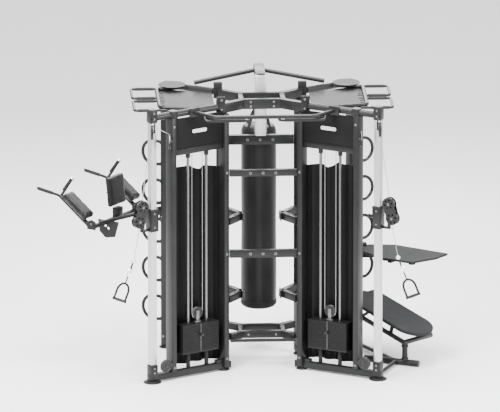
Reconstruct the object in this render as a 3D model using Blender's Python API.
"""Multi-station functional trainer: four wings round a hub, two weight towers, a dip station and a bench.
Metres, +Z up, standing on Z = 0. Wing coordinates are (along, across, up): along runs out from a wing's
inner post, and across points away from the machine's middle."""

import math

import bmesh
import bpy
from mathutils import Matrix, Vector

HUB = Vector((0.1503, -0.1638, 0.0))
GAP = 0.0003

INNER_X, INNER_Y = 0.34, 0.24
WING_TURN = math.radians(30.7)
OUTER = 0.547
COLUMN = 0.744
POST_ALONG, POST_ACROSS = 0.025, 0.05
INNER_TOP, OUTER_TOP, BEAM_Z, BEAM_R = 2.31, 2.345, 2.37, 0.03
BASE_LOW, BASE_TOP, FOOT_T = 0.015, 0.075, 0.02

COLUMN_HALF, SOCKET_HALF, SLEEVE_HALF = 0.029, 0.035, 0.041
COLUMN_LOW, COLUMN_TOP = 0.16, 2.33
HOLE_PITCH, HOLE_LOW, HOLE_COUNT = 0.08, 0.25, 24

STACK_MID, ROD_SPREAD, ROD_R, ROD_ACROSS = 0.272, 0.095, 0.0125, -0.01
PLATE_HALF, PLATE_PITCH, STACK_LOW = 0.188, 0.0129, 0.225
STACK_BACK, STACK_FRONT = -0.07, 0.05
RESTING, LIFTED = 9, 10
RAIL_LOW, RAIL_TOP, HEADER_TOP = 2.0, 2.05, 2.335
LIFT_PULLEY_Z, LIFT_PULLEY_R, CABLE_R = 0.555, 0.052, 0.003

CARRIAGE_LOW, CARRIAGE_TOP, SLEEVE_IN = 1.36, 1.56, 0.0305
LUG_END, CABLE_START, HANGER_GAP = 0.862, 0.005, 0.0075
HEAD_ALONG, HEAD_R, HEAD_HALF = 0.85, 0.058, 0.025
HEAD_HIGH = Vector((0.85, 0, 1.59))
HEAD_DOWN = Vector((0.884, 0, 1.465))
CABLE_EXIT = Vector((0.875, 0, 1.4065))
BALL = Vector((0.937, 0, 1.12))
GRIP = Vector((1.085, 0, 0.795))
TOP_PULLEY = Vector((0.81, 0.10, 2.27))
SIDE_PULLEY = Vector((0.628, 0.0973, 2.164))
BASE_PULLEY = Vector((0.645, 0.066, 0.148))
PULLEY_R, PULLEY_T = 0.068, 0.02

RING_R, RING_LOW, RING_PITCH, RING_COUNT = 0.015, 0.35, 0.35, 5
HUB_X, HUB_Y = 0.19, 0.113
BAG_Y, BAG_R, BAG_LOW, BAG_TOP = 0.46, 0.155, 0.38, 2.02
BOOM_LOW, BOOM_TOP = 2.475, 2.56
DIP_POST = Vector((-0.81, 0.52, 0))
DIP_TURN = math.radians(144)
PAD_TILT = math.radians(37)
STEP_POST = Vector((0.81, 0.52, 0))
STEP_TURN = math.radians(-36)
BENCH_END = Vector((1.36, -0.14, 0.30))
BENCH_TURN = math.radians(133.1)
BENCH_TILT = math.radians(14.5)

LOOKS = {
    "frame": ((0.055, 0.057, 0.06), 0.42, 0.6),
    "panel": ((0.03, 0.03, 0.032), 0.5, 0.2),
    "brushed": ((0.72, 0.73, 0.74), 0.32, 1.0),
    "chrome": ((0.8, 0.8, 0.8), 0.08, 1.0),
    "iron": ((0.05, 0.05, 0.052), 0.55, 0.4),
    "plastic": ((0.02, 0.02, 0.02), 0.45, 0.0),
    "cable": ((0.3, 0.31, 0.32), 0.35, 0.8),
    "vinyl": ((0.06, 0.06, 0.062), 0.4, 0.0),
    "board": ((0.09, 0.09, 0.09), 0.5, 0.0),
}
materials = {}
operands = None


def clear_scene():
    for obj in list(bpy.data.objects):
        bpy.data.objects.remove(obj)


def make_materials():
    for name, (colour, roughness, metallic) in LOOKS.items():
        material = bpy.data.materials.new(name)
        material.use_nodes = True
        shader = material.node_tree.nodes["Principled BSDF"]
        shader.inputs["Base Color"].default_value = (*colour, 1)
        shader.inputs["Roughness"].default_value = roughness
        shader.inputs["Metallic"].default_value = metallic
        materials[name] = material


def wing(side, end):
    """Wing coordinates to world: side -1 is left, end -1 is the front."""
    across, up = math.sin(WING_TURN), math.cos(WING_TURN)
    place = Matrix.Identity(4)
    place.col[0] = (side * up, end * across, 0, 0)
    place.col[1] = (-side * across, end * up, 0, 0)
    place.col[3] = (side * INNER_X, end * INNER_Y, 0, 1)
    return Matrix.Translation(HUB) @ place


def station(origin, turn, tilt=0.0):
    """A frame at a point of the hub's plan, turned about Z and then tilted up about its own Y."""
    spin = Matrix.Rotation(turn, 4, "Z") @ Matrix.Rotation(-tilt, 4, "Y")
    return Matrix.Translation(HUB + Vector(origin)) @ spin


def block(x0, x1, y0, y1, z0, z1):
    bm = bmesh.new()
    bmesh.ops.create_cube(bm, size=1)
    for vert in bm.verts:
        corner = vert.co + Vector((0.5, 0.5, 0.5))
        vert.co = (x0 + corner.x * (x1 - x0), y0 + corner.y * (y1 - y0), z0 + corner.z * (z1 - z0))
    return bm


def bar(start, stop, width, height):
    """A rectangular beam between two points of one level."""
    start, stop = Vector(start), Vector(stop)
    run = stop - start
    bm = block(0, run.length, -width / 2, width / 2, -height / 2, height / 2)
    turn = run.to_track_quat("X", "Z").to_matrix().to_4x4()
    bm.transform(Matrix.Translation(start) @ turn)
    return bm


def prism(outline, low, high, axis="z"):
    """An outline pushed from low to high along z, or along y when its points are (x, z)."""
    bm = bmesh.new()
    ends = []
    for level in (low, high):
        if axis == "z":
            ends.append([bm.verts.new((x, y, level)) for x, y in outline])
        else:
            ends.append([bm.verts.new((x, level, y)) for x, y in outline])
    bm.faces.new(ends[0])
    bm.faces.new(ends[1])
    count = len(outline)
    for i in range(count):
        j = (i + 1) % count
        bm.faces.new((ends[0][i], ends[0][j], ends[1][j], ends[1][i]))
    return bm


def sweep(points, radii, sides=8, closed=False):
    """A round tube along points, mitred at each bend."""
    points = [Vector(p) for p in points]
    if isinstance(radii, (int, float)):
        radii = [radii] * len(points)
    count = len(points)
    spans = count if closed else count - 1
    runs = [(points[(i + 1) % count] - points[i]).normalized() for i in range(spans)]
    side = runs[0].orthogonal().normalized()
    bm = bmesh.new()
    rings = []
    for i, point in enumerate(points):
        before = runs[i - 1] if (i or closed) else runs[0]
        after = runs[i % spans] if (i < spans or closed) else runs[-1]
        plane = (before + after).normalized()
        side = (side - before * side.dot(before)).normalized()
        other = before.cross(side)
        ring = []
        for k in range(sides):
            angle = 2 * math.pi * k / sides
            arm = (side * math.cos(angle) + other * math.sin(angle)) * radii[i]
            arm -= before * (arm.dot(plane) / before.dot(plane))
            ring.append(bm.verts.new(point + arm))
        rings.append(ring)
    if not closed:
        bm.faces.new(rings[0])
        bm.faces.new(rings[-1])
    for i in range(spans):
        first, second = rings[i], rings[(i + 1) % count]
        for k in range(sides):
            m = (k + 1) % sides
            bm.faces.new((first[k], first[m], second[m], second[k]))
    return bm


def wheel(centre, axis, radius, thickness, sides=18):
    """A pulley: a disc with a shallow rope groove."""
    centre, axis = Vector(centre), Vector(axis).normalized()
    steps = (-0.5, -0.3, 0, 0.3, 0.5)
    cuts = (1, 1, 0.88, 1, 1)
    return sweep([centre + axis * (s * thickness) for s in steps], [radius * c for c in cuts], sides)


def oval(centre, u, v, long_half, short_half, radius, count=12, sides=6):
    points = []
    for i in range(count):
        angle = 2 * math.pi * i / count
        points.append(centre + u * (long_half * math.cos(angle)) + v * (short_half * math.sin(angle)))
    return sweep(points, radius, sides, closed=True)


def ball(centre, radius):
    bm = bmesh.new()
    bmesh.ops.create_icosphere(bm, subdivisions=2, radius=radius)
    bm.transform(Matrix.Translation(centre))
    return bm


def add_mesh(name, bm, place, home):
    bm.transform(place)
    bm.normal_update()
    bmesh.ops.recalc_face_normals(bm, faces=bm.faces)
    if bm.calc_volume(signed=True) < 0:
        bmesh.ops.reverse_faces(bm, faces=bm.faces)
    mesh = bpy.data.meshes.new(name)
    bm.to_mesh(mesh)
    bm.free()
    obj = bpy.data.objects.new(name, mesh)
    home.objects.link(obj)
    return obj


def join(obj, shapes, place, operation):
    """One Boolean that adds every shape to the object, or takes every shape away from it."""
    if not shapes:
        return
    group = bpy.data.collections.new(f"{obj.name}_{operation.lower()}")
    operands.children.link(group)
    for i, shape in enumerate(shapes):
        helper = add_mesh(f"{group.name}_{i}", shape, place, group)
        helper.hide_render = True
        helper.display_type = "WIRE"
    modifier = obj.modifiers.new(operation.title(), "BOOLEAN")
    modifier.operation = operation
    modifier.operand_type = "COLLECTION"
    modifier.collection = group
    modifier.solver = "EXACT"


def piece(name, look, place, shapes, cuts=(), pivot=None):
    """One named sub-part: the union of its shapes, less its cuts, with its origin at the pivot."""
    obj = add_mesh(name, shapes[0], place, bpy.context.scene.collection)
    obj.data.materials.append(materials[look])
    join(obj, shapes[1:], place, "UNION")
    join(obj, list(cuts), place, "DIFFERENCE")
    if pivot is not None:
        world = place @ Vector(pivot)
        obj.data.transform(Matrix.Translation(-world))
        obj.location = world
    return obj


def foot(along, radius):
    return sweep([(along, 0, 0), (along, 0, FOOT_T)], radius, 16)


def post(along, low, high):
    return block(along - POST_ALONG, along + POST_ALONG, -POST_ACROSS, POST_ACROSS, low, high)


def add_column(name, place):
    near = COLUMN - COLUMN_HALF
    levels = [HOLE_LOW + HOLE_PITCH * i for i in range(HOLE_COUNT)]
    holes = [sweep([(near - 0.01, 0, z), (near + 0.018, 0, z)], 0.0065, 6) for z in levels]
    half = COLUMN_HALF
    tube = block(near, COLUMN + half, -half, half, COLUMN_LOW + GAP, COLUMN_TOP - GAP)
    piece(f"{name}_column", "brushed", place, [tube], holes)


def add_tower_frame(name, place):
    half = SOCKET_HALF
    base = [
        post(0, BASE_LOW + 0.02, INNER_TOP),
        block(-0.06, COLUMN + 0.04, -0.028, 0.028, BASE_LOW, BASE_TOP),
        foot(0, 0.05),
        foot(COLUMN, 0.078),
        block(COLUMN - half, COLUMN + half, -half, half, 0.01, COLUMN_LOW),
    ]
    piece(f"{name}_tower_base", "frame", place, base)
    inward = place.to_3x3().inverted() @ Vector((-math.copysign(1, place[0][0]), 0, 0))
    top_arm, side_arm = TOP_PULLEY + inward * 0.022, SIDE_PULLEY + inward * 0.022
    arch = [
        post(OUTER, BASE_TOP + GAP, OUTER_TOP),
        sweep([(0.075, 0, BEAM_Z), (COLUMN - 0.02, 0, BEAM_Z)], BEAM_R, 12),
        block(COLUMN - half, COLUMN + half, -half, half, COLUMN_TOP, 2.45),
        block(POST_ALONG + GAP, OUTER, -0.02, 0.02, RAIL_LOW, RAIL_TOP),
        sweep([(COLUMN + 0.02, 0.03, 2.36), top_arm + Vector((0, 0, 0.085)), top_arm], 0.007, 6),
        sweep([top_arm + Vector((0, 0, 0.01)), top_arm, TOP_PULLEY + inward * 0.0105], 0.006, 6),
        sweep([(OUTER + 0.012, 0.04, SIDE_PULLEY.z), side_arm, SIDE_PULLEY + inward * 0.0105], 0.007, 6),
        block(OUTER + 0.01, 0.66, 0.02, 0.054, 0.133, 0.163),
    ]
    piece(f"{name}_tower_arch", "frame", place, arch)


def add_tower_inside(name, place):
    low, high = POST_ALONG + GAP * 2, OUTER - POST_ALONG - GAP
    header = block(low, high, 0.022, 0.030, RAIL_TOP + GAP, HEADER_TOP)
    piece(f"{name}_header_panel", "panel", place, [header])

    centre, swing, sheet = -0.10, 0.018, 0.0025
    waves, steps = 3, 36
    line = [(-0.02, -POST_ACROSS - 0.0032), (0.04, -POST_ACROSS - 0.0032)]
    for i in range(steps + 1):
        share = i / steps
        line.append((0.055 + share * 0.437, centre + swing * math.cos(2 * math.pi * waves * share)))
    line += [(0.507, -POST_ACROSS - 0.0032), (OUTER + 0.02, -POST_ACROSS - 0.0032)]
    outline = [(x, y + sheet) for x, y in line] + [(x, y - sheet) for x, y in reversed(line)]
    piece(f"{name}_shroud", "panel", place, [prism(outline, 0.09, 1.87)])

    rods = []
    for side in (-1, 1):
        along = STACK_MID + side * ROD_SPREAD
        ends = [(along, ROD_ACROSS, BASE_TOP + GAP), (along, ROD_ACROSS, RAIL_LOW - GAP)]
        rods.append(sweep(ends, ROD_R, 10))
    span = (STACK_MID - PLATE_HALF, STACK_MID + PLATE_HALF)
    tie = block(*span, STACK_BACK, STACK_FRONT, STACK_LOW - 0.0125, STACK_LOW - GAP)
    piece(f"{name}_guide_rods", "chrome", place, rods + [tie])


def plates(low, count, top_gap):
    """A comb section pushed along the wing: count plates with a fine groove between each two."""
    groove, depth = 0.0012, 0.004
    front, back = [], []
    for i in range(count):
        z0 = low + i * PLATE_PITCH
        z1 = z0 + PLATE_PITCH - (top_gap if i == count - 1 else groove)
        front += [(STACK_FRONT, z0), (STACK_FRONT, z1)]
        back += [(STACK_BACK, z0), (STACK_BACK, z1)]
        if i < count - 1:
            front += [(STACK_FRONT - depth, z1), (STACK_FRONT - depth, z0 + PLATE_PITCH)]
            back += [(STACK_BACK + depth, z1), (STACK_BACK + depth, z0 + PLATE_PITCH)]
    bm = prism(front + back[::-1], STACK_MID - PLATE_HALF, STACK_MID + PLATE_HALF)
    # The section is (across, up) pushed along; the prism made it (x, y) pushed along z.
    bm.transform(Matrix(((0, 0, 1, 0), (1, 0, 0, 0), (0, 1, 0, 0), (0, 0, 0, 1))))
    return bm


def add_stack(name, place):
    holes = []
    for part in range(2):
        for side in (-1, 1):
            along = STACK_MID + side * ROD_SPREAD
            holes.append(sweep([(along, ROD_ACROSS, 0.15), (along, ROD_ACROSS, 0.6)], 0.0145, 10))
    split = STACK_LOW + RESTING * PLATE_PITCH
    piece(f"{name}_resting_plates", "iron", place, [plates(STACK_LOW, RESTING, GAP)], holes[:2])
    top = split + LIFTED * PLATE_PITCH
    pin_z = split + 2.5 * PLATE_PITCH
    middle = ROD_ACROSS
    foot_x = (STACK_MID - 0.03, STACK_MID + 0.03)
    yoke = [block(*foot_x, middle - 0.018, middle + 0.018, top - 0.01, top + 0.012)]
    for side in (-1, 1):
        cheek = sorted((middle + side * 0.0105, middle + side * 0.0145))
        yoke.append(block(STACK_MID - 0.016, STACK_MID + 0.016, *cheek, top, LIFT_PULLEY_Z + 0.02))
    pin_hole = sweep([(STACK_MID, 0.01, pin_z), (STACK_MID, 0.07, pin_z)], 0.0055, 8)
    lifted = [plates(split, LIFTED, 0.0)] + yoke
    piece(f"{name}_lifted_plates", "iron", place, lifted, holes[2:] + [pin_hole], (STACK_MID, middle, split))
    pin = [
        sweep([(STACK_MID, 0.014, pin_z), (STACK_MID, 0.055, pin_z)], 0.0045, 8),
        sweep([(STACK_MID, 0.053, pin_z), (STACK_MID, 0.085, pin_z)], 0.014, 12),
    ]
    piece(f"{name}_selector_pin", "plastic", place, pin, pivot=(STACK_MID, 0.05, pin_z))
    hub = (STACK_MID, middle, LIFT_PULLEY_Z)
    piece(f"{name}_lift_pulley", "plastic", place, [wheel(hub, (0, 1, 0), LIFT_PULLEY_R, 0.0202)], pivot=hub)

    reach = LIFT_PULLEY_R + CABLE_R + 0.0005
    points = [(STACK_MID - reach, middle, RAIL_LOW - GAP)]
    for i in range(9):
        angle = math.pi * (1 + i / 8)
        points.append((STACK_MID + reach * math.cos(angle), middle, LIFT_PULLEY_Z + reach * math.sin(angle)))
    points.append((STACK_MID + reach, middle, RAIL_LOW - GAP))
    piece(f"{name}_stack_cable", "cable", place, [sweep(points, CABLE_R, 8)])


def add_pulleys(name, place):
    sideways = place.to_3x3().inverted() @ Vector((1, 0, 0))
    level = (0, 1, 0)
    for word, hub, axis, radius in (
        ("top", TOP_PULLEY, sideways, PULLEY_R),
        ("side", SIDE_PULLEY, sideways, PULLEY_R),
        ("base", BASE_PULLEY, level, 0.056),
    ):
        piece(f"{name}_{word}_pulley", "plastic", place, [wheel(hub, axis, radius, PULLEY_T)], pivot=hub)


def add_carriage(name, place):
    half, mid_z = SLEEVE_HALF, (CARRIAGE_LOW + CARRIAGE_TOP) / 2
    sleeve = [
        block(COLUMN - half, COLUMN + half, -half, half, CARRIAGE_LOW, CARRIAGE_TOP),
        block(COLUMN + 0.036, LUG_END, -0.015, 0.015, 1.365, 1.385),
        sweep([(COLUMN - 0.036, 0, mid_z), (COLUMN - 0.07, 0, mid_z)], 0.014, 10),
    ]
    bore = [
        block(COLUMN - SLEEVE_IN, COLUMN + SLEEVE_IN, -SLEEVE_IN, SLEEVE_IN, 1.3, 1.7),
        sweep([(COLUMN - 0.03, 0, mid_z), (COLUMN - 0.09, 0, mid_z)], 0.0055, 8),
    ]
    piece(f"{name}_carriage", "frame", place, sleeve, bore, (COLUMN, 0, mid_z))
    pin = [
        sweep([(COLUMN - 0.037, 0, mid_z), (COLUMN - 0.075, 0, mid_z)], 0.0045, 8),
        sweep([(COLUMN - 0.0705, 0, mid_z), (COLUMN - 0.10, 0, mid_z)], 0.018, 12),
    ]
    piece(f"{name}_pop_pin", "plastic", place, pin, pivot=(COLUMN - 0.07, 0, mid_z))
    flat = Vector((0, HEAD_HALF, 0))
    head = [
        sweep([HEAD_HIGH - flat, HEAD_HIGH + flat], HEAD_R, 18),
        sweep([HEAD_DOWN - flat, HEAD_DOWN + flat], HEAD_R, 18),
        block(0.835, 0.90, -0.02, 0.02, 1.49, 1.565),
        sweep([(HEAD_ALONG, 0, 1.3855), (HEAD_ALONG, 0, 1.43)], 0.013, 10),
    ]
    piece(f"{name}_swivel_head", "frame", place, head, pivot=(HEAD_ALONG, 0, 1.385))


def add_handle(name, place):
    run = (BALL - CABLE_EXIT).normalized()
    stop = BALL - run * 0.0205
    start = CABLE_EXIT + run * CABLE_START
    points = [start.lerp(stop, i / 15) for i in range(16)]
    piece(f"{name}_cable_end", "cable", place, [sweep(points, CABLE_R, 8)], pivot=CABLE_EXIT)
    down = (GRIP - BALL).normalized()
    out = Vector((-down.z, 0, down.x))
    up_from_grip = [(-0.061, 0), (-0.061, 0.08)]
    for i in range(1, 8):
        angle = math.pi * (1 - i / 8)
        up_from_grip.append((0.061 * math.cos(angle), 0.08 + 0.07 * math.sin(angle)))
    up_from_grip += [(0.061, 0.08), (0.061, 0)]
    arch = [GRIP + out * x - down * y for x, y in up_from_grip]
    arch_top = GRIP - down * 0.15
    parts = [
        ball(BALL, 0.02),
        sweep([BALL, BALL + down * 0.075], 0.004, 8),
        oval(BALL + down * 0.105, down, out, 0.036, 0.014, 0.004),
        sweep([BALL + down * 0.137, arch_top], 0.006, 8),
        sweep(arch, 0.007, 8),
        sweep([GRIP - out * 0.072, GRIP + out * 0.072], 0.014, 12),
    ]
    piece(f"{name}_handle", "chrome", place, parts, pivot=CABLE_EXIT)
    top = Vector((0.775, 0.0415, TOP_PULLEY.z))
    foot_end = Vector((HEAD_ALONG, 0.0, HEAD_HIGH.z + HEAD_R + 0.0005))
    line = [top.lerp(foot_end, i / 11) for i in range(12)]
    piece(f"{name}_carriage_cable", "cable", place, [sweep(line, CABLE_R, 8)], pivot=top)


def add_rear_wing(name, side):
    place = wing(side, 1)
    to_wing = place.inverted() @ Matrix.Translation(HUB)
    shapes = [
        block(-0.03, OUTER + 0.03, -0.028, 0.028, BASE_LOW, BASE_TOP),
        post(0, BASE_LOW + 0.02, INNER_TOP),
        post(OUTER, BASE_LOW + 0.02, OUTER_TOP),
        foot(0, 0.05),
        foot(OUTER, 0.06),
        sweep([(0.075, 0, BEAM_Z), (OUTER + 0.02, 0, BEAM_Z)], BEAM_R, 12),
    ]
    # Each shelf is a V between the two inner posts; its front leg stops short of the front one.
    for level in (0.62, 1.32):
        corner = Vector((side * 0.18, 0, level))
        rear_end = Vector((side * INNER_X, INNER_Y, level))
        front_end = corner.lerp(Vector((side * INNER_X, -INNER_Y, level)), 0.72)
        for end in (rear_end, front_end):
            start = corner - (end - corner).normalized() * 0.018
            leg = bar(start, end, 0.05, 0.065)
            leg.transform(to_wing)
            shapes.append(leg)
    piece(f"{name}_rear_wing", "frame", place, shapes)

    face = OUTER + POST_ALONG + GAP
    ladder = [block(face, face + 0.008, -0.028, 0.028, 0.18, 1.92)]
    for i in range(RING_COUNT):
        z = RING_LOW + RING_PITCH * i
        loop = [(face + 0.004, 0, z - 0.095), (face + 0.055, 0, z - 0.105)]
        for k in range(1, 6):
            angle = math.pi * (k / 6 - 0.5)
            loop.append((face + 0.10 + 0.10 * math.cos(angle), 0, z + 0.105 * math.sin(angle)))
        loop += [(face + 0.055, 0, z + 0.105), (face + 0.004, 0, z + 0.095)]
        ladder.append(sweep(loop, RING_R, 6))
    piece(f"{name}_ring_ladder", "frame", place, ladder)


def hub_ring(low, high, share):
    """A box ring round the middle with four legs that reach the given share of the way to the inner posts."""
    shapes = []
    for end in (-1, 1):
        y = sorted((end * (HUB_Y - 0.02), end * (HUB_Y + 0.02)))
        shapes.append(block(-HUB_X - 0.018, HUB_X + 0.018, *y, low, high))
        for side in (-1, 1):
            start = Vector((side * (HUB_X - 0.02), end * (HUB_Y - 0.005), (low + high) / 2))
            goal = Vector((side * (INNER_X + 0.012), end * (INNER_Y + 0.009), (low + high) / 2))
            shapes.append(bar(start, start.lerp(goal, share), 0.055, high - low - 0.004))
    for side in (-1, 1):
        x = sorted((side * (HUB_X - 0.03), side * (HUB_X + 0.012)))
        shapes.append(block(*x, -HUB_Y, HUB_Y, low + 0.003, high - 0.003))
    return shapes


def add_middle():
    place = Matrix.Translation(HUB)
    mast = [
        block(-0.05, 0.05, 0.125, 0.195, 2.0, BOOM_TOP - 0.01),
        block(-0.046, 0.046, 0.13, 0.52, BOOM_LOW, BOOM_TOP),
    ]
    for side in (-1, 1):
        mast.append(sweep([(side * 0.03, 0.44, 2.515), (side * 0.568, 0.375, 2.4235)], 0.02, 10))
    piece("top_hub", "frame", place, hub_ring(INNER_TOP + GAP, 2.40, 1.0) + mast)
    piece("floor_hub", "frame", place, hub_ring(0.25, 0.315, 0.62))
    reach = 0.292
    for name, y, low, high in (
        ("mast_crossbeam", INNER_Y, 1.90, 1.985),
        ("upper_crossbeam", -INNER_Y, 1.74, 1.80),
        ("middle_crossbeam", -INNER_Y, 1.01, 1.08),
    ):
        cuts = [sweep([(x, y - 0.04, (low + high) / 2), (x, y + 0.04, (low + high) / 2)], 0.009, 8)
                for x in (-0.11, 0.11)]
        piece(name, "frame", place, [block(-reach, reach, y - 0.022, y + 0.022, low, high)], cuts)

    shoulder = [(BAG_LOW, 0.128), (BAG_LOW + 0.01, 0.147), (BAG_LOW + 0.03, BAG_R),
                (BAG_TOP - 0.04, BAG_R), (BAG_TOP - 0.01, 0.14), (BAG_TOP, 0.11)]
    bag = [
        sweep([(0, BAG_Y, z) for z, _ in shoulder], [r for _, r in shoulder], 24),
        sweep([(0, BAG_Y, BAG_TOP - 0.02), (0, BAG_Y, BOOM_LOW - HANGER_GAP)], 0.012, 10),
    ]
    piece("punching_bag", "vinyl", place, bag, pivot=(0, BAG_Y, BOOM_LOW))


def add_top_bars():
    place = Matrix.Translation(HUB)
    level, drop = BEAM_Z, 2.33
    starts = {}
    shapes = []
    for side in (-1, 1):
        to_hub = place.inverted() @ wing(side, -1)
        starts[side] = to_hub @ Vector((0.33, BEAM_R + 0.004, level))
        clamp = block(0.28, 0.38, BEAM_R + GAP, BEAM_R + 0.014, level - 0.04, level + 0.04)
        clamp.transform(to_hub)
        shapes.append(clamp)
        loop = [(side * 0.52, -0.533, level), (side * 0.52, -0.60, drop), (side * 0.12, -0.60, drop),
                (side * 0.12, -0.628, level)]
        shapes.append(sweep(loop, 0.012, 8))
    line = [starts[-1], (-0.44, -0.63, level), (0.44, -0.63, level), starts[1]]
    piece("front_pullup_bar", "frame", place, [sweep(line, 0.017, 10)] + shapes)

    for name, side in (("left", -1), ("right", 1)):
        bar_z, ends = 2.385, {}
        for end in (-1, 1):
            to_hub = place.inverted() @ wing(side, end)
            ends[end] = to_hub @ Vector((0.33, -BEAM_R - 0.020, bar_z))
        line = [ends[-1], (side * 0.90, -0.32, bar_z), (side * 0.90, 0.32, bar_z), ends[1]]
        x = sorted((side * 0.82, side * 0.905))
        wedge = [(side * 0.42, -0.19), (side * 0.825, -0.36), (side * 0.825, 0.36), (side * 0.42, 0.19)]
        rim = [(side * 0.76 + 0.12 * math.cos(math.tau * i / 20), 0.40 + 0.12 * math.sin(math.tau * i / 20))
               for i in range(20)]
        shapes = [
            sweep(line, 0.018, 10),
            block(*x, -0.36, 0.36, 2.366, 2.374),
            prism(wedge, 2.3675, 2.3725),
            prism(rim, 2.4012, 2.406),
        ]
        for low, high in ((-0.36, -0.04), (0.06, 0.38)):
            loop = [(side * 0.84, low, 2.37), (side * 1.12, low, 2.37), (side * 1.12, high, 2.37),
                    (side * 0.84, high, 2.37)]
            shapes.append(sweep(loop, 0.012, 8))
        piece(f"{name}_side_frame", "frame", place, shapes)


def pad_block(centre, length, width, thick, tilt):
    edge = 0.018
    half = Vector((length / 2, width / 2, thick / 2))
    outline = []
    for x, y, turn in ((1, 1, 0), (-1, 1, 1), (-1, -1, 2), (1, -1, 3)):
        for k in range(3):
            angle = math.pi / 2 * (turn + k / 2)
            corner = Vector((x * (half.x - edge), y * (half.y - edge)))
            outline.append((corner.x + edge * math.cos(angle), corner.y + edge * math.sin(angle)))
    bm = prism(outline, -half.z, half.z)
    bm.transform(Matrix.Translation(centre) @ Matrix.Rotation(-tilt, 4, "Y"))
    return bm


def add_dip_station():
    """Local x runs out from the post, local y to the machine's rear side."""
    place = station(DIP_POST, DIP_TURN) @ Matrix.Diagonal((1, -1, 1, 1))
    out = Vector((math.cos(PAD_TILT), 0, math.sin(PAD_TILT)))
    lift = Vector((-math.sin(PAD_TILT), 0, math.cos(PAD_TILT)))
    shapes = [
        bar((0.04, 0.0, 1.215), (0.34, 0.0, 1.215), 0.05, 0.05),
        sweep([(0.33, -0.66, 1.185), (0.33, 0.14, 1.185)], 0.022, 10),
        block(0.037, 0.047, -0.03, 0.03, 1.175, 1.272),
        sweep([(0.05, 0.0, 1.252), (0.33, -0.55, 1.20)], 0.017, 8),
        prism([(0.22, 1.19), (0.44, 1.19), (0.42, 1.08), (0.36, 1.03), (0.26, 1.05)], -0.41, -0.404, "y"),
        block(0.30, 0.36, -0.30, -0.22, 1.17, 1.28),
    ]
    for name, y in (("outer", -0.63), ("inner", 0.11)):
        centre = Vector((0.50, y, 1.35))
        low = centre - out * 0.20 - lift * 0.06
        high = centre + out * 0.19 - lift * 0.06
        shapes.append(sweep([Vector((0.33, y, 1.185)), low, high], 0.02, 8))
        tip = high + Vector((0.24, 0, 0.03))
        shapes.append(sweep([high - out * 0.02, high + Vector((0.03, 0, 0.0)), tip], 0.016, 8))
        shapes.append(sweep([high - out * 0.012, high + lift * 0.22], 0.016, 8))
        pad = pad_block(centre, 0.30, 0.14, 0.07, PAD_TILT)
        piece(f"{name}_arm_pad", "vinyl", place, [pad])
    piece("dip_frame", "frame", place, shapes)
    back = pad_block(Vector((0.352, -0.26, 1.43)), 0.05, 0.26, 0.28, math.radians(-6))
    piece("back_pad", "vinyl", place, [back])


def add_step_and_bench():
    place = station(STEP_POST, STEP_TURN)
    outline = [(0.12, -0.10), (0.4655, -0.219), (0.757, -0.197), (0.856, 0.037), (0.868, 0.217),
               (0.32, 0.217), (0.12, 0.10)]
    shapes = [
        prism(outline, 0.885, 0.905),
        bar((0.085, 0, 0.862), (0.62, 0, 0.862), 0.05, 0.05),
        bar((0.50, -0.16, 0.868), (0.50, 0.16, 0.868), 0.04, 0.04),
        block(0.085, 0.095, -0.06, 0.06, 0.80, 0.93),
    ]
    piece("step_platform", "panel", place, shapes)

    place = station(BENCH_END, BENCH_TURN, BENCH_TILT)
    board = [(0.72, -0.185), (0.72, 0.185)]
    for i in range(9):
        angle = math.pi * (0.5 + i / 8)
        board.append((0.09 + 0.20 * math.cos(angle), 0.185 * math.sin(angle)))
    piece("bench_board", "board", place, [prism(board, 0, 0.032)])

    rails = [bar((-0.02, y, -0.075), (0.74, y, -0.075), 0.03, 0.035) for y in (-0.17, 0.17)]
    rails += [bar((x, -0.18, -0.075), (x, 0.18, -0.075), 0.035, 0.033) for x in (-0.01, 0.70)]
    rails += [block(x, x + 0.03, y - 0.01, y + 0.01, -0.065, -GAP)
              for x in (0.15, 0.55) for y in (-0.16, 0.16)]
    to_local = place.inverted() @ Matrix.Translation(HUB)
    ground = [
        sweep([(1.24, -0.20, 0.045), (1.24, -0.20, 0.225)], 0.025, 10),
        sweep([(0.90, -0.02, 0.028), (1.36, -0.24, 0.028)], 0.028, 10),
        sweep([(0.87, 0.44, 0.03), (1.16, -0.13, 0.03)], 0.018, 8),
        sweep([(1.02, -0.50, 0.03), (1.16, -0.16, 0.03)], 0.018, 8),
    ]
    for shape in ground:
        shape.transform(to_local)
    piece("bench_frame", "frame", place, rails + ground)


def main():
    global operands
    clear_scene()
    make_materials()
    operands = bpy.data.collections.new("operands")
    bpy.context.scene.collection.children.link(operands)
    for name, side in (("left", -1), ("right", 1)):
        place = wing(side, -1)
        add_column(name, place)
        add_tower_frame(name, place)
        add_tower_inside(name, place)
        add_stack(name, place)
        add_pulleys(name, place)
        add_carriage(name, place)
        add_handle(name, place)
        add_rear_wing(name, side)
    add_middle()
    add_top_bars()
    add_dip_station()
    add_step_and_bench()


main()
